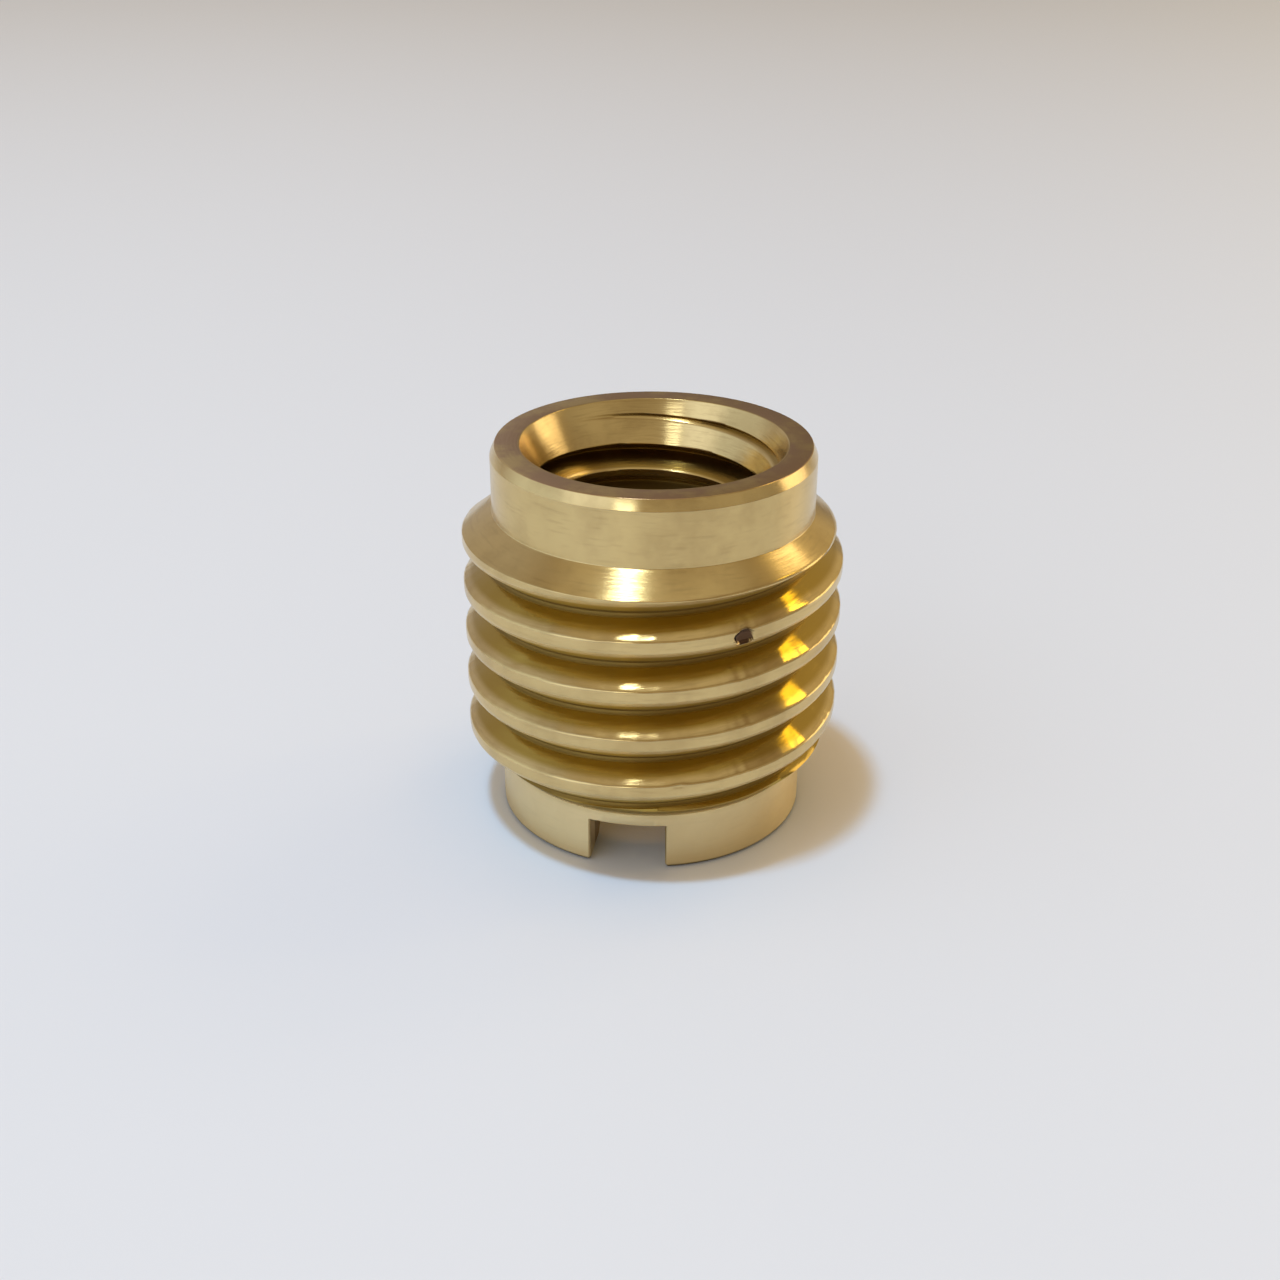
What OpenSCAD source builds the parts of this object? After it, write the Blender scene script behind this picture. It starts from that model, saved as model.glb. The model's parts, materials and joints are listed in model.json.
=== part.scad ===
// Threaded insert: a turned brass bush that screws into a hole and holds a machine screw.
// The slotted end is at the bottom and the countersunk collar at the top.
// The axis is Z, and the origin lies on it, in the face of the slotted end.

/* [Body] */
// Overall length along the axis
length = 16.3; // [15:0.1:20]
// Diameter of the collar above the thread
collar_d = 13.3; // [12:0.1:13.8]
// Length of the collar
collar_h = 2.75; // [1.5:0.05:4]
// Diameter of the plain neck below the thread
neck_d = 13; // [12:0.1:13.6]
// Length of the neck
neck_h = 2.55; // [2.3:0.05:3.6]
// Width of the chamfer round the top rim, seen from above
rim_chamfer_w = 0.2; // [0.05:0.05:0.5]
// Height of the chamfer round the top rim
rim_chamfer_h = 0.45; // [0.1:0.05:0.8]
// Width of the broken edge round the slotted end
foot_chamfer = 0.1; // [0.05:0.05:0.3]

/* [Outer thread] */
// Diameter over the crests
thread_d = 15.8; // [15.2:0.1:19]
// Distance between turns, 12 to the inch
thread_pitch = 2.117; // [1.7:0.001:2.6]
// Width of the flat on each crest
crest_w = 0.55; // [0.3:0.05:0.7]
// Angle between the two flanks of the groove
flank_angle = 75; // [50:1:80]
// Height at which a turn of the groove crosses the front of the part
groove_front_z = 7.59; // [6:0.01:9]
// How far the root of the groove stands outside the collar and the neck
root_step = 0.15; // [0.05:0.05:0.5]
// Least width of the flat at the root of the groove
least_root_w = 0.1; // [0.05:0.05:0.3]
// Height of the cone between the thread and the collar
top_cone_h = 0.8; // [0.5:0.05:1.3]
// Height of the cone between the neck and the thread
low_cone_h = 1.35; // [0.8:0.05:1.8]

/* [Bore] */
// Diameter of the bore, over the crests of the inner thread
bore_d = 8.4; // [7.6:0.1:10.2]
// Diameter of the countersink in the top face
mouth_d = 10.9; // [10.4:0.1:12]
// Angle of the countersink from side to side
mouth_angle = 50; // [45:1:90]
// Width of the bevel round the bore at the slotted end, seen from below
foot_bevel_w = 0.7; // [0.2:0.1:1]
// Angle of that bevel from side to side
foot_bevel_angle = 90; // [60:1:120]

/* [Driving slot] */
// Width of the slot
slot_w = 3.1; // [2:0.1:4]
// Depth of the slot
slot_depth = 2; // [1:0.1:2.4]

/* [Hidden] */

brass = [0.76, 0.67, 0.46];
// Straight sides drawn for each full circle
round_steps = 180;
// Straight steps in each turn of the outer thread
turn_steps = 60;
// How far a cutter stands clear of a face that it cuts
over = 0.5;

body_r = thread_d / 2;
collar_r = collar_d / 2;
neck_r = neck_d / 2;
bore_r = bore_d / 2;
mouth_r = mouth_d / 2;

// Heights of the steps in the outline, from the neck up to the collar
low_cone_z = neck_h + low_cone_h;
collar_z = length - collar_h;
top_cone_z = collar_z - top_cone_h;

// The groove stays outside the collar and the neck, and keeps a flat at its root
flank_slope = tan(flank_angle / 2);
deepest = (thread_pitch - crest_w - least_root_w) / (2 * flank_slope);
groove_depth = min(body_r - max(collar_r, neck_r) - root_step, deepest);
root_r = body_r - groove_depth;
root_w = thread_pitch - crest_w - 2 * groove_depth * flank_slope;

// The groove runs out through both cones. Its turns are counted from the front of the part.
first_turn = (neck_h - root_w - groove_front_z) / thread_pitch;
last_turn = (collar_z + root_w - groove_front_z) / thread_pitch;
groove_steps = ceil((last_turn - first_turn) * turn_steps);

// Half the width of the groove at radius r
function groove_half(r) = root_w / 2 + (r - root_r) * flank_slope;

// A corner of the groove's section: the turn, the radius, and its upper (1) or lower (-1) side
function groove_point(turn, r, side) =
    [
        r * cos(360 * turn - 90),
        r * sin(360 * turn - 90),
        groove_front_z + thread_pitch * turn + side * groove_half(r)
    ];

// The groove's section at one turn, as four corners in order
function groove_section(turn) =
    [
        groove_point(turn, root_r, -1),
        groove_point(turn, body_r + over, -1),
        groove_point(turn, body_r + over, 1),
        groove_point(turn, root_r, 1)
    ];

// The turned outline before threading: neck, lower cone, body, upper cone, collar
module blank() {
    rotate_extrude($fn = round_steps)
        polygon([
            [0, 0],
            [neck_r - foot_chamfer, 0],
            [neck_r, foot_chamfer],
            [neck_r, neck_h],
            [body_r, low_cone_z],
            [body_r, top_cone_z],
            [collar_r, collar_z],
            [collar_r, length - rim_chamfer_h],
            [collar_r - rim_chamfer_w, length],
            [0, length]
        ]);
}

// The space that the outer thread's groove takes, a right-hand helix
module thread_groove() {
    points = [
        for (i = [0 : groove_steps])
            each groove_section(first_turn + i * (last_turn - first_turn) / groove_steps)
    ];
    sides = [
        for (i = [0 : groove_steps - 1], j = [0 : 3])
            let (near = 4 * i, far = near + 4, k = (j + 1) % 4)
                each [
                    [near + j, near + k, far + k],
                    [near + j, far + k, far + j]
                ]
    ];
    last = 4 * groove_steps;
    ends = [
        [0, 2, 1],
        [0, 3, 2],
        [last, last + 1, last + 2],
        [last, last + 2, last + 3]
    ];
    polyhedron(points = points, faces = concat(sides, ends), convexity = 12);
}

// A countersink round the bore that opens upwards, to a mouth of radius wide_r at height zero
module countersink(wide_r, angle) {
    cone_h = (wide_r - bore_r) / tan(angle / 2);
    over_w = over * tan(angle / 2);
    translate([0, 0, -cone_h])
        cylinder(h = cone_h + over, r1 = bore_r, r2 = wide_r + over_w, $fn = round_steps);
}

// The bore, with a countersink at each end
module bore() {
    translate([0, 0, -over])
        cylinder(h = length + 2 * over, r = bore_r, $fn = round_steps);
    translate([0, 0, length])
        countersink(mouth_r, mouth_angle);
    mirror([0, 0, 1])
        countersink(bore_r + foot_bevel_w, foot_bevel_angle);
}

// The slot across the lower end, from front to back
module driving_slot() {
    reach = neck_d + 2 * over;
    translate([-slot_w / 2, -reach / 2, -over])
        cube([slot_w, reach, slot_depth + over]);
}

module insert_body() {
    color(brass)
        difference() {
            blank();
            thread_groove();
            bore();
            driving_slot();
        }
}

insert_body();
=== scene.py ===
import json
import math
import bmesh
import bpy
import numpy as np
from mathutils import Matrix, Vector


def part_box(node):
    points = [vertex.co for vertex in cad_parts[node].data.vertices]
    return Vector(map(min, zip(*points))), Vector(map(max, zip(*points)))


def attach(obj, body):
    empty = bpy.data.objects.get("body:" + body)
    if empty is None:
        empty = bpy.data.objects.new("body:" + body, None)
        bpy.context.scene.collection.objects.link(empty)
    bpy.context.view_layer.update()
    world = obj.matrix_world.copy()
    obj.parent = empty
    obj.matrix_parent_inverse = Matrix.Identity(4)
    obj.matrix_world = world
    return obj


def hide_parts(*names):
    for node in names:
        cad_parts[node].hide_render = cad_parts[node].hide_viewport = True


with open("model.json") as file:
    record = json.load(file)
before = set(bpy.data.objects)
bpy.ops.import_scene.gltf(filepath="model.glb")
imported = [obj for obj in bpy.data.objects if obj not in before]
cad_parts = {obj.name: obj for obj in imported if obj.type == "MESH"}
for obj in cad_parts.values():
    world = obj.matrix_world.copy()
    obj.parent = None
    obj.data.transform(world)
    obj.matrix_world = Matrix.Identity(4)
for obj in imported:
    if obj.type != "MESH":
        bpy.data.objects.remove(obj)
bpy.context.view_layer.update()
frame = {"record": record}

# ---------------------------------------------------------------------------------------------
# Camera. It stands seven centimetres from the part, a little to the right of the driving slot,
# and looks down on it.

part_low, part_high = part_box("insert_body")
part_length = part_high[2] - part_low[2]
camera_azimuth = math.radians(9.1)
camera_elevation = math.radians(26.44)
camera_roll = math.radians(0.29)
camera_distance = 0.070
camera_lens = 45.9
sensor_width = 36.0
nearest_seen, farthest_seen = 0.005, 10.0
aim_right = -0.00052
aim_up = 0.447 * part_length


def direction(azimuth, elevation):
    """The unit direction away from the part at an azimuth, counted from the front towards the
    right, and at an elevation above the level."""
    return Vector((math.sin(azimuth) * math.cos(elevation),
                   -math.cos(azimuth) * math.cos(elevation),
                   math.sin(elevation)))


def add_camera():
    """The one camera. Its backward axis points from the part to the camera, and its other two
    axes are turned about that one by the roll."""
    back = direction(camera_azimuth, camera_elevation)
    level = Vector((math.cos(camera_azimuth), math.sin(camera_azimuth), 0.0))
    upright = back.cross(level)
    right = math.cos(camera_roll) * level + math.sin(camera_roll) * upright
    up = math.cos(camera_roll) * upright - math.sin(camera_roll) * level
    aim = aim_right * level + Vector((0.0, 0.0, part_low[2] + aim_up))
    data = bpy.data.cameras.new("camera")
    data.lens = camera_lens
    data.sensor_width = sensor_width
    data.clip_start = nearest_seen
    data.clip_end = farthest_seen
    camera = bpy.data.objects.new("camera", data)
    turn = Matrix((right, up, back)).transposed()
    camera.matrix_world = Matrix.Translation(aim + camera_distance * back) @ turn.to_4x4()
    bpy.context.scene.collection.objects.link(camera)
    bpy.context.scene.camera = camera


add_camera()
bpy.context.scene.view_settings.view_transform = "Standard"

# ---------------------------------------------------------------------------------------------
# Insert body, the outside. It is turned from brass bar: a neck, a cone, the threaded barrel, a
# second cone and a plain collar. The coarse thread is one right-hand groove cut round the barrel,
# which runs out through both cones. All sizes here are in millimetres.

MM = 0.001
mounts = {mount["name"]: mount for mount in frame["record"]["mounts"]}
length = part_length / MM
barrel_r = (part_high[0] - part_low[0]) / 2 / MM
collar_r = mounts["collar"]["dims"]["r_mm"]
collar_h = 2.75
neck_r = 6.5
neck_h = 2.55
low_cone_h = 1.35
top_cone_h = 0.8
rim_w, rim_h = 0.2, 0.45
barrel_top = length - collar_h

# The groove's middle crosses the front of the part at the height given
groove_pitch = 2.117
groove_front_z = 7.59
crest_flat = 0.55
groove_root_half = 0.05
flank_angle = 75
flank = math.tan(math.radians(flank_angle / 2))
crest_edge = groove_pitch / 2 - crest_flat / 2
groove_root_r = barrel_r - (crest_edge - groove_root_half) / flank
root_rounding = 0.08
upper_edge_rounding, lower_edge_rounding = 0.05, 0.25
upper_edge_waver, lower_edge_waver = 0.014, 0.008
waver_fades_within = 0.7

# Dents knocked into the outside: turn from the front in degrees, height, half width along the
# turn, half height and depth. The first is much the deepest, and is coloured darker.
dents = np.array([
    [35.3, 10.94, 0.48, 0.33, 0.26],
    [-36.0, 8.95, 0.30, 0.15, 0.06],
    [-26.0, 8.70, 0.22, 0.10, 0.05],
    [17.0, 4.75, 0.25, 0.12, 0.06],
    [57.0, 12.72, 0.34, 0.10, 0.07],
    [2.0, 12.60, 0.15, 0.08, 0.05],
    [20.5, 12.66, 0.12, 0.07, 0.04],
    [-4.0, 10.95, 0.12, 0.06, 0.03],
])

# The angles of every wall's columns: even all round, starting at the front, with more of them
# over the deepest dent
front_angle = -90
even_columns = np.linspace(front_angle, front_angle + 360, 209)
dent_columns = np.arange(front_angle + 31.6, front_angle + 39.6, 0.5)
angles = np.radians(np.sort(np.concatenate([even_columns, dent_columns])))


def rounded(corners, radii):
    """A polyline with its corners rounded: each corner is replaced by an arc of the given radius,
    tangent to both of its sides, drawn with a few steps. Ends stay as they are."""
    arc_steps = 4
    corners = np.asarray(corners, float)
    points = [corners[:1]]
    for before, corner, after, radius in zip(corners, corners[1:], corners[2:], radii):
        a = (before - corner) / np.linalg.norm(before - corner)
        b = (after - corner) / np.linalg.norm(after - corner)
        half = math.acos(np.clip(a @ b, -1, 1)) / 2
        middle = (a + b) / np.linalg.norm(a + b)
        centre = corner + middle * radius / math.sin(half)
        start = corner + a * radius / math.tan(half) - centre
        stop = corner + b * radius / math.tan(half) - centre
        t = np.linspace(0, 1, arc_steps + 1)[:, None]
        arc = (1 - t) * start + t * stop
        arc *= radius / np.linalg.norm(arc, axis=1, keepdims=True)
        points.append(centre + arc)
    points.append(corners[-1:])
    return np.concatenate(points)


def soft_positive(x, k):
    """x where it is above k, nothing where it is below minus k, and a parabola between."""
    return np.where(x > k, x, np.where(x < -k, 0.0, (x + k) ** 2 / (4 * k)))


def into_turn(distance, pitch):
    """A difference brought into the nearest turn, from minus half a pitch to plus half."""
    return (distance + pitch / 2) % pitch - pitch / 2


def turns_from_front(angle):
    """An angle about the axis as a share of a whole turn, counted from the front."""
    return (angle + math.pi / 2) / (2 * math.pi)


def waver(along, seed):
    """A smooth seeded waver of about plus or minus one along a length in millimetres: a sum of
    sines whose wavelengths run from half a millimetre to seven."""
    chance = np.random.default_rng(seed)
    total = np.zeros_like(along)
    for wavelength in np.geomspace(0.55, 7.0, 9):
        total += np.sin(2 * math.pi * along / (wavelength * chance.uniform(0.8, 1.2))
                        + chance.uniform(0, 2 * math.pi))
    return total / 3


def dent_depth(turn, z):
    """How far the dents go in at a turn from the front and a height: each is a rounded hollow
    that falls away smoothly to its rim."""
    total = np.zeros_like(z)
    for degrees, height, wide, high, depth in dents:
        along = into_turn(turn * 360 - degrees, 360.0) * math.pi / 180 * barrel_r
        reach = (along / wide) ** 2 + ((z - height) / high) ** 2
        total += depth * np.clip(1 - reach, 0, 1) ** 0.7
    return total


outline_end = 0.3
wall_outline = rounded(
    [(neck_r, neck_h - outline_end), (neck_r, neck_h), (barrel_r, neck_h + low_cone_h),
     (barrel_r, barrel_top - top_cone_h), (collar_r, barrel_top),
     (collar_r, barrel_top + outline_end)],
    [0.04, 0.06, 0.05, 0.04])


def wall_radius(angle, z):
    """Radius of the outside at an angle and a height: the smaller of the turned outline and the
    groove, which is a narrow root with two straight flanks. The edge between the two is rounded,
    more on the underside of each crest, and wavers a little as the tool left it."""
    turned = np.interp(z, wall_outline[:, 1], wall_outline[:, 0])
    turn = turns_from_front(angle)
    turns_up = (z - groove_front_z) / groove_pitch - turn
    above_middle = into_turn(groove_pitch * turns_up, groove_pitch)
    faces_up = above_middle < 0
    along = 2 * math.pi * barrel_r * (turn + np.round(turns_up))
    shift = np.where(faces_up, upper_edge_waver * waver(along, 3),
                     lower_edge_waver * waver(along, 4))
    off = np.abs(above_middle)
    off = off + shift * np.clip(off / waver_fades_within, 0, 1) ** 2
    groove = groove_root_r + soft_positive((off - groove_root_half) / flank, root_rounding)
    edge = np.where(faces_up, upper_edge_rounding, lower_edge_rounding)
    return turned - soft_positive(turned - groove, edge) - dent_depth(turn, z)


def thread_rows(levels, offsets, front_z, pitch, low, high):
    """Heights of the rows of a threaded wall, one list for each column of angles. Some rows are
    level and some climb with the thread, and in every column they are put in order, so that
    every edge of both kinds has a row on it. Climbing rows that leave the wall stop at its end."""
    first = math.floor((low - front_z) / pitch) - 2
    last = math.ceil((high - front_z) / pitch) + 1
    starts = (front_z + pitch * np.arange(first, last + 1)[:, None] + offsets[None, :]).ravel()
    climbing = np.clip(starts[None, :] + pitch * turns_from_front(angles)[:, None], low, high)
    level = np.broadcast_to(levels, (len(angles), len(levels)))
    return np.sort(np.concatenate([climbing, level], axis=1), axis=1)


def both_sides(half_rows, pitch):
    """Distances of the climbing rows from the middle of a groove: the ones given, on both sides
    of it, and one half a pitch away, in the middle of the crest."""
    return np.concatenate([-half_rows[:0:-1], half_rows, [pitch / 2]])


def threaded_wall(rows, radius_at):
    """A wall whose radius is a function of angle and height, as a grid of columns by rows."""
    around = np.broadcast_to(angles[:, None], rows.shape)
    radius = radius_at(around, rows)
    return np.stack([radius * np.cos(around), radius * np.sin(around), rows], axis=-1)


# Climbing rows stand closest together at the root and at the edge of the crest
root_rows = [0.0, 0.05, 0.10, 0.16, 0.28, 0.40, 0.54]
edge_rows = crest_edge + np.array([-0.12, -0.08, -0.04, 0.0, 0.04, 0.08, 0.12, 0.19])
groove_rows = both_sides(np.concatenate([root_rows, edge_rows]), groove_pitch)
past_cones = 0.06
wall_low = neck_h - past_cones
wall_high = barrel_top + past_cones
in_wall = (wall_outline[:, 1] > wall_low) & (wall_outline[:, 1] < wall_high)
barrel = threaded_wall(
    thread_rows(wall_outline[in_wall, 1], groove_rows, groove_front_z, groove_pitch,
                wall_low, wall_high),
    wall_radius)

# ---------------------------------------------------------------------------------------------
# Insert body, the bore. It is drilled through, countersunk at the collar, bevelled at the slotted
# end and tapped with a finer right-hand thread, which dies out in the countersink.

bore_r = mounts["inner_thread"]["dims"]["r_mm"]
mouth_r = 5.45
mouth_angle = 50
mouth_slope = math.tan(math.radians(mouth_angle / 2))
mouth_h = (mouth_r - bore_r) / mouth_slope
foot_w = 0.7

# The uppermost crest would stand a little below the top face, at a turn just past the front. The
# groove is counted from six turns farther down.
tap_pitch = 1.5
top_crest_down = 0.67
top_crest_turn = 12.5
turns_down = 6
tap_front_z = (length - top_crest_down - 0.5 * tap_pitch - tap_pitch * top_crest_turn / 360
               - turns_down * tap_pitch)
tap_angle = 60
tap_root_r = 5.2
tap_root_half = 0.05
tap_flank = math.tan(math.radians(tap_angle / 2))
tap_edge = tap_root_half + (tap_root_r - bore_r) * tap_flank
tap_root_rounding, tap_edge_rounding = 0.05, 0.04
tap_ends_z, tap_fades_over = 0.3, 1.0

bore_outline = rounded(
    [(bore_r + foot_w, 0.0), (bore_r, foot_w), (bore_r, length - mouth_h), (mouth_r, length)],
    [0.1, 0.1])


def bore_radius(angle, z):
    """Radius of the bore at an angle and a height: the larger of the drilled outline and the
    tapped groove, with the corner between the two rounded. The groove fades out before it
    reaches the slotted end."""
    drilled = np.interp(z, bore_outline[:, 1], bore_outline[:, 0])
    climbed = tap_pitch * turns_from_front(angle)
    off = np.abs(into_turn(z - tap_front_z - climbed, tap_pitch))
    groove = tap_root_r - soft_positive((off - tap_root_half) / tap_flank, tap_root_rounding)
    fade = np.clip((z - tap_ends_z) / tap_fades_over, 0, 1)
    return drilled + fade * soft_positive(groove - drilled, tap_edge_rounding)


def bore_wall(low, high, half_rows):
    """The bore's wall between two heights, with climbing rows at the given distances from the
    middle of the tapped groove."""
    inside = (bore_outline[:, 1] > low) & (bore_outline[:, 1] < high)
    levels = np.concatenate([[low], bore_outline[inside, 1], [high]])
    rows = thread_rows(levels, both_sides(half_rows, tap_pitch), tap_front_z, tap_pitch, low, high)
    return threaded_wall(rows, bore_radius)


# The upper turns, which show in the mouth, have many more rows than the deep ones
bore_low, bore_middle, bore_high = 0.1, length - 4.2, length - 0.3
deep_rows = np.array([0.0, 0.09, 0.30, tap_edge - 0.04, tap_edge + 0.04])
seen_rows = np.append(np.arange(0.0, 0.68, 0.045), tap_edge + 0.07)
deep_bore = bore_wall(bore_low, bore_middle, deep_rows)
seen_bore = bore_wall(bore_middle, bore_high, seen_rows)

# ---------------------------------------------------------------------------------------------
# Insert body, its two ends. The slotted end is faced flat and its edges broken. The collar ends
# in a flat ring with a small chamfer outside and the countersink inside.

foot_edge = 0.12
mouth_edge = mouth_r - (length - bore_high) * mouth_slope
weld_within = 0.003
least_edge = 0.2 * weld_within


def ring_wall(path):
    """A surface of revolution: every point (radius, height) of a path carried round the axis,
    as a grid of columns by path points."""
    path = np.asarray(path, float)
    return np.stack([path[None, :, 0] * np.cos(angles)[:, None],
                     path[None, :, 0] * np.sin(angles)[:, None],
                     np.broadcast_to(path[None, :, 1], (len(angles), len(path)))], axis=-1)


foot = ring_wall(rounded(
    [(bore_r + foot_w - bore_low, bore_low), (bore_r + foot_w, 0.0), (neck_r - foot_edge, 0.0),
     (neck_r, foot_edge), (neck_r, wall_low)],
    [0.05, 0.06, 0.06]))
rim = ring_wall(rounded(
    [(collar_r, wall_high), (collar_r, length - rim_h), (collar_r - rim_w, length),
     (mouth_r, length), (mouth_edge, bore_high)],
    [0.10, 0.06, 0.05]))


def grid_quads(rows, across, first):
    """Corner numbers of the quads of a grid stored column by column, outward where the columns
    turn anticlockwise and the rows climb."""
    c, r = np.meshgrid(np.arange(across - 1), np.arange(rows - 1), indexing="ij")
    near = first + c * rows + r
    return np.stack([near, near + rows, near + rows + 1, near + 1], axis=-1).reshape(-1, 4)


def closed_mesh(name, points, faces, welded=False):
    """A closed mesh from points in millimetres and the corner numbers of its faces, which are
    turned outwards. A welded one first has its nearly equal points made one."""
    mesh = bpy.data.meshes.new(name)
    mesh.from_pydata((points * MM).tolist(), [], faces)
    shell = bmesh.new()
    shell.from_mesh(mesh)
    if welded:
        bmesh.ops.remove_doubles(shell, verts=shell.verts, dist=weld_within * MM)
        bmesh.ops.dissolve_degenerate(shell, edges=shell.edges, dist=least_edge * MM)
    bmesh.ops.recalc_face_normals(shell, faces=shell.faces)
    shell.to_mesh(mesh)
    shell.free()
    return mesh


def joined(name, grids):
    """One closed mesh from grids that meet edge to edge."""
    points, quads, first = [], [], 0
    for grid in grids:
        across, rows = grid.shape[:2]
        points.append(grid.reshape(-1, 3))
        quads.append(grid_quads(rows, across, first))
        first += across * rows
    return closed_mesh(name, np.concatenate(points), np.concatenate(quads).tolist(), welded=True)


body_mesh = joined("insert_body_brass", [foot, barrel, rim, deep_bore, seen_bore])
body = bpy.data.objects.new("insert_body_brass", body_mesh)
bpy.context.scene.collection.objects.link(body)

# ---------------------------------------------------------------------------------------------
# Insert body, the driving slot. It is sawn straight across the slotted end, and its edges are
# slightly broken where they meet the neck and the end face.

slot_half = 1.55
slot_depth = 2.0
slot_starts_z = -0.6
past_neck = 1.2
neck_break, foot_break, roof_break = 0.16, 0.2, 0.09


def broken_edge(inside, width):
    """How far an edge is drawn back at a distance inside it: a parabola over the broken width,
    three quarters of that width deep at the edge, which goes on straight outside the edge."""
    near = np.clip(inside, 0, width)
    return 0.75 * (width - near) ** 2 / width + 1.5 * np.clip(-inside, 0, None)


def slot_rings():
    """The space that the slot takes: an upright section, half the slot wide on each side and
    with a flat roof, carried from front to back. Its sides and roof flare where they leave the
    metal, so the sections stand close together there."""
    edge = neck_r - slot_half ** 2 / (2 * neck_r)
    near = np.concatenate([np.linspace(0, edge - 0.4, 5), np.linspace(edge - 0.3, edge + 0.1, 9),
                           [neck_r + past_neck]])
    y = np.concatenate([-near[:0:-1], near])
    rise = np.concatenate([[slot_starts_z], np.linspace(-0.05, 0.3, 8),
                           [1.0, slot_depth - 0.2, slot_depth]])
    side = slot_half * np.ones_like(rise)
    roof_x = np.linspace(-1, 1, 13)[1:-1] * slot_half
    x = np.concatenate([-side, roof_x, side])
    z = np.concatenate([rise, np.full(len(roof_x), slot_depth), rise[::-1]])
    outward = np.sign(x) * (np.abs(x) >= slot_half)
    inside = neck_r - np.hypot(x[None, :], y[:, None])
    flare = broken_edge(inside, neck_break) + broken_edge(z, foot_break)[None, :]
    on_roof = np.where(z == slot_depth, 1.0, 0.0)
    lift = on_roof[None, :] * broken_edge(inside, roof_break)
    return np.stack([x[None, :] + outward[None, :] * flare,
                     np.broadcast_to(y[:, None], flare.shape),
                     z[None, :] + lift], axis=-1)


def slot_mesh():
    """The slot's space as a closed mesh: its rings joined end to end, with a flat cap at each
    end."""
    rings = slot_rings()
    across, count = rings.shape[:2]
    i, j = np.meshgrid(np.arange(across - 1), np.arange(count), indexing="ij")
    near, after = i * count + j, i * count + (j + 1) % count
    faces = np.stack([near, after, after + count, near + count], axis=-1).reshape(-1, 4).tolist()
    faces += [list(range(count)), list(range((across - 1) * count, across * count))[::-1]]
    return closed_mesh("slot_cutter", rings.reshape(-1, 3), faces)


def cut_slot(piece):
    """Take the slot's space out of a piece's mesh."""
    cutter = bpy.data.objects.new("slot_cutter", slot_mesh())
    bpy.context.scene.collection.objects.link(cutter)
    cut = piece.modifiers.new("slot", "BOOLEAN")
    cut.operation = "DIFFERENCE"
    cut.solver = "MANIFOLD"
    cut.object = cutter
    ready = piece.evaluated_get(bpy.context.evaluated_depsgraph_get())
    result = bpy.data.meshes.new_from_object(ready)
    piece.modifiers.clear()
    piece.data = result
    bpy.data.objects.remove(cutter)


cut_slot(body)
sharp_beyond = math.radians(38)
body.data.shade_smooth()
body.data.set_sharp_from_angle(angle=sharp_beyond)

# ---------------------------------------------------------------------------------------------
# Insert body, its finish. Bare turned brass, with fine rings and short streaks round the axis. It
# has painted shade in the grooves and at the lowest edge, a painted lighter neck, a darker bore
# and a browner rim.

clean_brass = (0.68, 0.515, 0.235)
stained_brass = (0.53, 0.385, 0.17)
streaked_brass = (0.42, 0.30, 0.13)
neck_painted_light = (0.82, 0.66, 0.37)
groove_painted_shade = (0.43, 0.29, 0.065)
root_painted_shade = (0.27, 0.175, 0.045)
bore_darker_tone = (0.36, 0.235, 0.06)
rim_brown = (0.50, 0.33, 0.20)
dent_dark_tone = (0.10, 0.055, 0.03)
foot_painted_shade = (0.10, 0.065, 0.025)
stain_share, streak_share, neck_painted_share = 0.7, 0.3, 0.7
least_roughness, most_roughness = 0.17, 0.27
cut_smoother, under_rougher, neck_rougher = 0.08, 0.35, 0.22
stain_scale = 420
streaks_round, streaks_across = 5, 7000.0
relief_depth, relief_strength = 0.00001, 0.6


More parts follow.
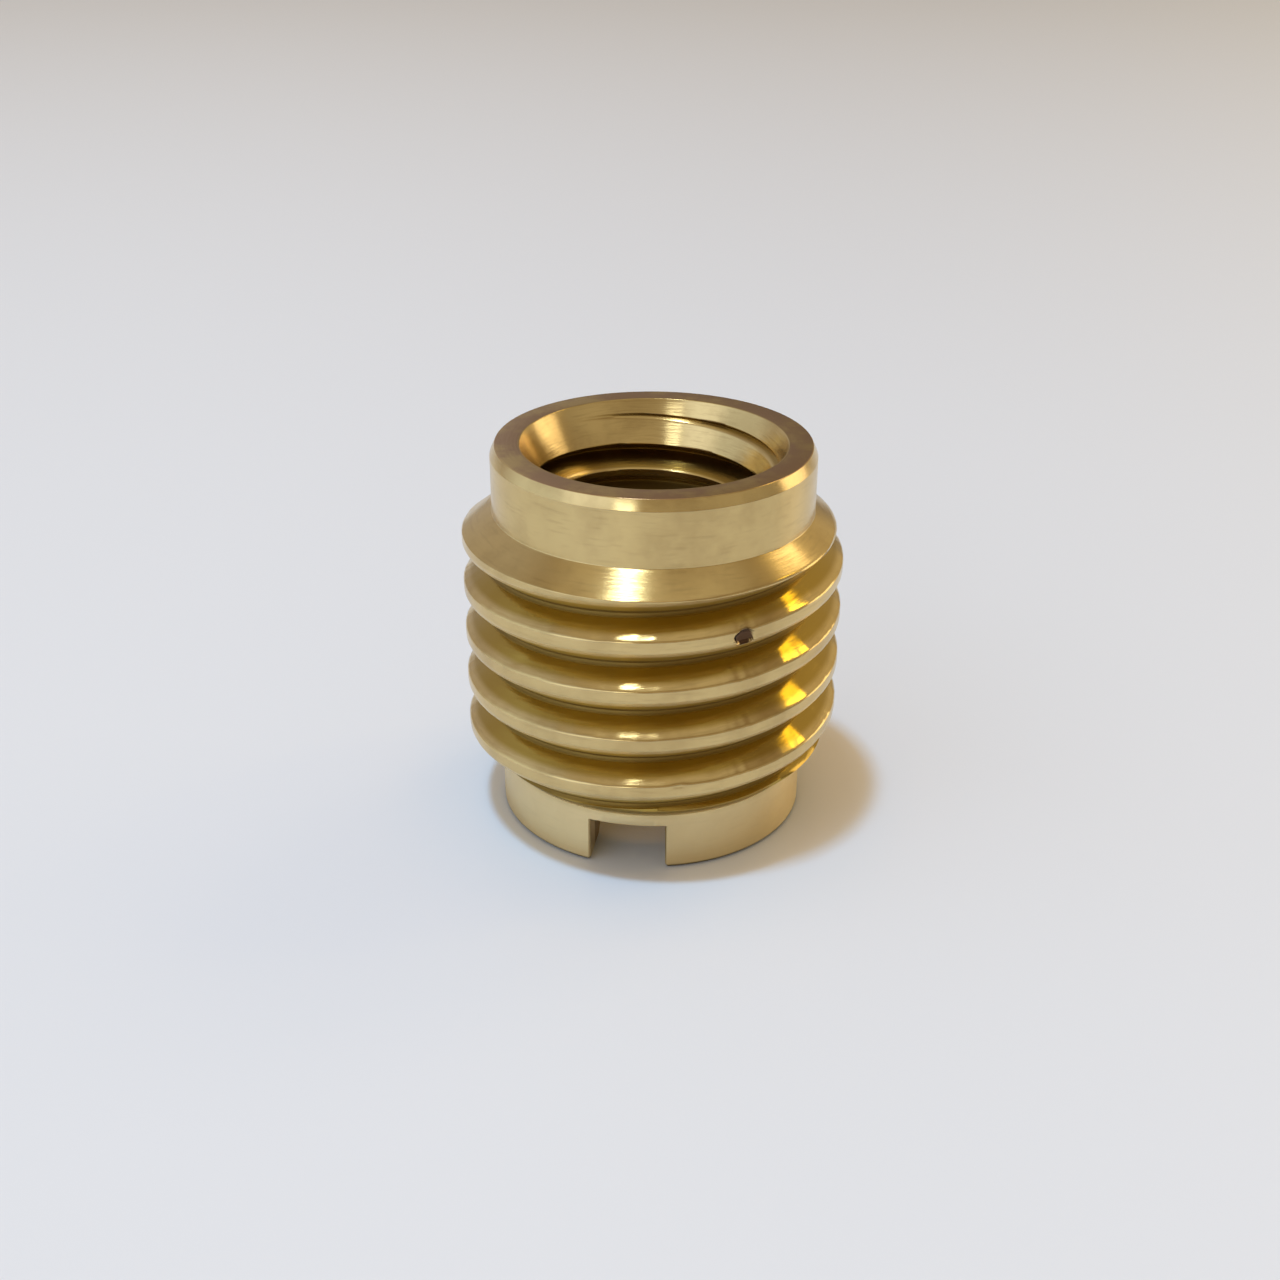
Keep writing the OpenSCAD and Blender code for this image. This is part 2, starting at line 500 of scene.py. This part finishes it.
class Bench:
    """Makes and joins the nodes of one material, or of the room."""

    def __init__(self, owner):
        """Turn the owner's nodes on and keep them at hand."""
        owner.use_nodes = True
        self.tree = owner.node_tree

    def make(self, kind, **settings):
        """A new node of a kind, with its settings."""
        node = self.tree.nodes.new(kind)
        for name, value in settings.items():
            setattr(node, name, value)
        return node

    def feed(self, socket, value):
        """Give a socket a number, a direction, a colour or what another node puts out."""
        if isinstance(value, (int, float, Vector)):
            socket.default_value = value
        elif isinstance(value, tuple):
            socket.default_value = (*value, 1)
        else:
            self.tree.links.new(value, socket)

    def worked(self, kind, first, second):
        """The product, sum, difference or larger one of two numbers."""
        node = self.make("ShaderNodeMath", operation=kind)
        self.feed(node.inputs[0], first)
        self.feed(node.inputs[1], second)
        return node.outputs[0]

    def both(self, first, second):
        """The product of two shares, which is high only where both are."""
        return self.worked("MULTIPLY", first, second)

    def measured(self, kind, first, second=None):
        """A number measured from one or two places, such as a length or a distance."""
        node = self.make("ShaderNodeVectorMath", operation=kind)
        self.feed(node.inputs[0], first)
        if second is not None:
            self.feed(node.inputs[1], second)
        return node.outputs["Value"]

    def scaled(self, value, low, high, first, last):
        """A number that goes straight from first to last as a value goes from low to high."""
        node = self.make("ShaderNodeMapRange")
        self.feed(node.inputs["From Min"], low)
        self.feed(node.inputs["From Max"], high)
        self.feed(node.inputs["To Min"], first)
        self.feed(node.inputs["To Max"], last)
        self.feed(node.inputs["Value"], value)
        return node.outputs["Result"]

    def ease(self, value, low, high):
        """A share that goes smoothly from 0 to 1 as a value goes from low to high."""
        node = self.make("ShaderNodeMapRange", interpolation_type="SMOOTHSTEP")
        self.feed(node.inputs["From Min"], low)
        self.feed(node.inputs["From Max"], high)
        self.feed(node.inputs["Value"], value)
        return node.outputs["Result"]

    def lay_on(self, share, under, colour):
        """A colour laid over another by a share."""
        node = self.make("ShaderNodeMix", data_type="RGBA")
        self.feed(node.inputs["Factor"], share)
        self.feed(node.inputs["A"], under)
        self.feed(node.inputs["B"], colour)
        return node.outputs["Result"]


brass_material = bpy.data.materials.new("turned_brass")
brass = Bench(brass_material)
brass_shader = brass_material.node_tree.nodes["Principled BSDF"]
part_place = brass.make("ShaderNodeTexCoord")
place = part_place.outputs["Object"]
split = brass.make("ShaderNodeSeparateXYZ")
brass.feed(split.inputs[0], place)
height = split.outputs["Z"]
flat = brass.make("ShaderNodeCombineXYZ")
brass.feed(flat.inputs["X"], split.outputs["X"])
brass.feed(flat.inputs["Y"], split.outputs["Y"])
radius = brass.measured("LENGTH", flat.outputs[0])


def at_radius(low, high):
    """A share that goes from 0 to 1 between two distances from the axis."""
    return brass.ease(radius, low * MM, high * MM)


def above_foot(low, high):
    """A share that goes from 0 to 1 between two heights above the slotted end."""
    return brass.ease(height, part_low[2] + low * MM, part_low[2] + high * MM)


def below_top(low, high):
    """A share that goes from 0 to 1 between two depths below the top face."""
    return brass.ease(height, part_high[2] - low * MM, part_high[2] - high * MM)


def slow_stains():
    """Cloudy noise in all three directions."""
    noise = brass.make("ShaderNodeTexNoise", noise_dimensions="3D")
    brass.feed(noise.inputs["Scale"], stain_scale)
    brass.feed(noise.inputs["Detail"], 4)
    brass.feed(noise.inputs["Roughness"], 0.6)
    brass.feed(noise.inputs["Vector"], place)
    return noise.outputs[0]


def turning_streaks():
    """Noise drawn out along the turning. It is read at the heading from the axis, which changes
    slowly round the part, moved up by the height and the radius, which change fast."""
    heading = brass.make("ShaderNodeVectorMath", operation="NORMALIZE")
    brass.feed(heading.inputs[0], flat.outputs[0])
    around = brass.make("ShaderNodeVectorMath", operation="SCALE")
    brass.feed(around.inputs[0], heading.outputs[0])
    brass.feed(around.inputs["Scale"], streaks_round)
    along_outline = brass.worked("ADD", height, brass.worked("MULTIPLY", radius, 1.7))
    across = brass.make("ShaderNodeCombineXYZ")
    brass.feed(across.inputs["Z"], brass.worked("MULTIPLY", along_outline, streaks_across))
    lay = brass.make("ShaderNodeVectorMath", operation="ADD")
    brass.feed(lay.inputs[0], around.outputs[0])
    brass.feed(lay.inputs[1], across.outputs[0])
    noise = brass.make("ShaderNodeTexNoise", noise_dimensions="3D")
    brass.feed(noise.inputs["Scale"], 1)
    brass.feed(noise.inputs["Detail"], 3)
    brass.feed(noise.inputs["Vector"], lay.outputs[0])
    return noise.outputs[0]


stains = slow_stains()
streaks = turning_streaks()

# Where painted shade goes: between the neck and the collar in the outer groove. Where the bore is
# darker: in the tapped groove and over everything farther down
between_ends = brass.both(above_foot(neck_h + 0.05, neck_h + 0.35),
                          below_top(collar_h + 0.5, collar_h + 1.1))
in_groove = brass.both(at_radius(barrel_r - 0.15, barrel_r - 0.42), between_ends)
in_root = brass.both(in_groove, at_radius(groove_root_r + 0.16, groove_root_r + 0.05))
inside_mouth = at_radius(mouth_r + 0.15, mouth_r)
drilled_radius = brass.scaled(height, part_high[2] - mouth_h * MM, part_high[2],
                              bore_r * MM, mouth_r * MM)
past_drilled = brass.worked("SUBTRACT", radius, drilled_radius)
in_tap = brass.both(inside_mouth, brass.ease(past_drilled, 0.015 * MM, 0.14 * MM))
deep_down = brass.both(inside_mouth, below_top(4.5, 7.0))
in_bore = brass.worked("MAXIMUM", in_tap, deep_down)

# Which surface it is: the neck, the flat ring on top, the lowest edge, a cut flank of the groove,
# and the underside of a crest
on_neck = above_foot(neck_h + 0.1, neck_h - 0.3)
on_rim = brass.both(below_top(0.03, 0.01), at_radius(mouth_r, mouth_r + 0.1))
at_foot = brass.both(at_radius(neck_r - 0.35, neck_r - 0.15), above_foot(0.20, 0.07))
on_flank = brass.both(at_radius(barrel_r - 0.01, barrel_r - 0.06), between_ends)
facing = brass.make("ShaderNodeSeparateXYZ")
brass.feed(facing.inputs[0], part_place.outputs["Normal"])
under_crest = brass.both(on_flank, brass.ease(facing.outputs["Z"], -0.25, -0.6))

# A darker tone in the deepest dent, with a ragged edge
dent_turn, dent_z = dents[0, :2]
dent_r = (barrel_r - 0.15) * MM
dent_place = Vector((dent_r * math.sin(math.radians(dent_turn)),
                     -dent_r * math.cos(math.radians(dent_turn)),
                     part_low[2] + dent_z * MM))
ragged = brass.worked("MULTIPLY", brass.worked("SUBTRACT", streaks, 0.5), 0.6 * MM)
from_dent = brass.worked("ADD", brass.measured("DISTANCE", place, dent_place), ragged)
in_dent = brass.ease(from_dent, 0.46 * MM, 0.32 * MM)

# Colour, laid on in steps
stained = brass.both(brass.ease(stains, 0.40, 0.70), stain_share)
marked = brass.both(brass.ease(streaks, 0.52, 0.72), streak_share)
colour = brass.lay_on(stained, clean_brass, stained_brass)
colour = brass.lay_on(marked, colour, streaked_brass)
# Painted light: the neck is painted a paler brass so that it looks brighter
colour = brass.lay_on(brass.both(on_neck, neck_painted_share), colour, neck_painted_light)
# Painted shade: the outer groove, and its root still more, are painted darker where shade falls
colour = brass.lay_on(in_groove, colour, groove_painted_shade)
colour = brass.lay_on(in_root, colour, root_painted_shade)
# The bore is darker in the tapped groove and farther down
colour = brass.lay_on(in_bore, colour, bore_darker_tone)
colour = brass.lay_on(brass.both(on_rim, brass.ease(stains, 0.35, 0.6)), colour, rim_brown)
colour = brass.lay_on(in_dent, colour, dent_dark_tone)
# Painted shade: the lowest edge is painted dark, standing in for the shaded table it mirrors
colour = brass.lay_on(at_foot, colour, foot_painted_shade)
brass.feed(brass_shader.inputs["Base Color"], colour)

# Gloss: the flank of the groove that faces up is the smoothest, and the underside of a crest the
# roughest
gloss = brass.scaled(stains, 0.3, 0.75, least_roughness, most_roughness)
smoothed = brass.worked("SUBTRACT", gloss, brass.both(on_flank, cut_smoother))
dull = brass.worked("MAXIMUM", under_crest, in_root)
rougher = brass.worked("ADD", brass.both(dull, under_rougher), brass.both(on_neck, neck_rougher))
brass.feed(brass_shader.inputs["Roughness"], brass.worked("ADD", smoothed, rougher))

# Relief, and a grain that runs round the axis
relief = brass.make("ShaderNodeBump")
brass.feed(relief.inputs["Distance"], relief_depth)
brass.feed(relief.inputs["Strength"], relief_strength)
brass.feed(relief.inputs["Height"], streaks)
brass.feed(brass_shader.inputs["Normal"], relief.outputs[0])
turning = brass.make("ShaderNodeTangent", direction_type="RADIAL", axis="Z")
brass.feed(brass_shader.inputs["Tangent"], turning.outputs[0])
brass_shader.inputs["Anisotropic"].default_value = 0.65
brass_shader.inputs["Anisotropic Rotation"].default_value = 0.25
brass_shader.inputs["Metallic"].default_value = 1.0

body.data.materials.clear()
body.data.materials.append(brass_material)
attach(body, "root")
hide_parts("insert_body")

# ---------------------------------------------------------------------------------------------
# Table. A plain pale sheet, smooth but not shiny, that the part stands on. It isn't part of the
# object.

table_colour = (0.74, 0.75, 0.77)
table_half = 1.5
table_mesh = bpy.data.meshes.new("table")
table_mesh.from_pydata([(-table_half, -table_half, 0), (table_half, -table_half, 0),
                        (table_half, table_half, 0), (-table_half, table_half, 0)],
                       [], [(0, 1, 2, 3)])
table = bpy.data.objects.new("table", table_mesh)
bpy.context.scene.collection.objects.link(table)
table.location = (0, 0, part_low[2])
table_material = bpy.data.materials.new("table")
table_material.use_nodes = True
table_shader = table_material.node_tree.nodes["Principled BSDF"]
table_shader.inputs["Base Color"].default_value = (*table_colour, 1)
table_shader.inputs["Roughness"].default_value = 0.4
table_mesh.materials.append(table_material)

# ---------------------------------------------------------------------------------------------
# Light. A plain room, lighter in front than behind, with pale window light to the left and warm
# light to the right. Two of its lamps light only the table: bare metal shows a lamp by mirroring
# it, and these two aren't mirrored.


def way_to(turn, elevation):
    """The unit direction at a turn to the right of the camera's side and an elevation, both in
    degrees."""
    return direction(math.radians(turn) + camera_azimuth, math.radians(elevation))


room_world = bpy.data.worlds.new("room")
bpy.context.scene.world = room_world
room = Bench(room_world)
room_way = room.make("ShaderNodeTexCoord").outputs["Generated"]


def toward(turn, elevation, near, far):
    """A share that rises smoothly from 0 to 1 where a direction of the room comes closer to the
    given one: 0 at the far angle from it and 1 at the near one, in degrees."""
    closeness = room.measured("DOT_PRODUCT", room_way, way_to(turn, elevation))
    return room.ease(closeness, math.cos(math.radians(far)), math.cos(math.radians(near)))


# The walls, darker behind and at the level of the table
wall_behind = (0.24, 0.19, 0.14)
wall_in_front = (0.51, 0.445, 0.335)
room_split = room.make("ShaderNodeSeparateXYZ")
room.feed(room_split.inputs[0], room_way)
above_table = room.ease(room_split.outputs["Z"], 0.02, 0.22)
in_front = room.both(toward(0, 0, 60, 125), above_table)
room_colour = room.lay_on(in_front, wall_behind, wall_in_front)

# Patches laid over the walls and over each other in this order: turn, elevation, the angle within
# which each is full, the angle at which it ends, and its colour
room_patches = {
    "ceiling": (0, 90, 40, 62, (0.33, 0.25, 0.15)),
    "wall behind to the left": (-140, 20, 15, 45, (0.50, 0.46, 0.43)),
    "window wall": (-75, 12, 20, 55, (0.82, 0.90, 1.02)),
    "window": (-48, 28, 8, 25, (1.2, 1.3, 1.5)),
    "warm wall to the right": (128, 22, 15, 40, (0.62, 0.50, 0.30)),
    "middle of the ceiling": (0, 90, 18, 38, (0.60, 0.53, 0.40)),
}
for turn, elevation, near, far, patch_colour in room_patches.values():
    room_colour = room.lay_on(toward(turn, elevation, near, far), room_colour, patch_colour)
room.feed(room_world.node_tree.nodes["Background"].inputs["Color"], room_colour)


def add_lamp(name, turn, elevation, distance, width, height, level, colour, mirrored=True):
    """A soft rectangular lamp facing the part. The level is how bright a white table would look
    under this lamp alone, and a lamp that isn't mirrored lights the table but isn't seen in
    metal."""
    away = way_to(turn, elevation)
    data = bpy.data.lights.new(name, "AREA")
    data.shape = "RECTANGLE"
    data.size = width
    data.size_y = height
    data.energy = level * (math.pi * distance) ** 2 / away.z
    data.color = colour
    lamp = bpy.data.objects.new(name, data)
    lamp.location = Vector((0, 0, part_low[2] + 0.5 * part_length)) + distance * away
    lamp.rotation_mode = "QUATERNION"
    lamp.rotation_quaternion = away.to_track_quat("Z", "Y")
    lamp.visible_glossy = mirrored
    bpy.context.scene.collection.objects.link(lamp)


# Each lamp's turn, elevation, distance, width, height, level and colour
add_lamp("above", -55, 79, 0.5, 0.08, 0.08, 0.12, (0.78, 0.90, 1.0))
add_lamp("above_wide", -61, 78.3, 0.5, 0.04, 0.04, 0.52, (0.29, 0.60, 0.98), mirrored=False)
add_lamp("window", -20, 25, 0.6, 0.13, 0.13, 0.022, (0.82, 0.92, 1.0))
add_lamp("warm_low", 112, 11, 0.8, 0.40, 0.30, 0.020, (1.0, 0.84, 0.60))
add_lamp("warm_middle", 109, 42, 0.8, 0.065, 0.13, 0.012, (1.0, 0.72, 0.07))
add_lamp("warm_high", 134, 43, 0.8, 0.18, 0.18, 0.025, (1.0, 0.80, 0.50))
add_lamp("warm_ceiling", 0, 90, 0.6, 0.4, 0.4, 0.23, (1.0, 0.46, 0.02), mirrored=False)
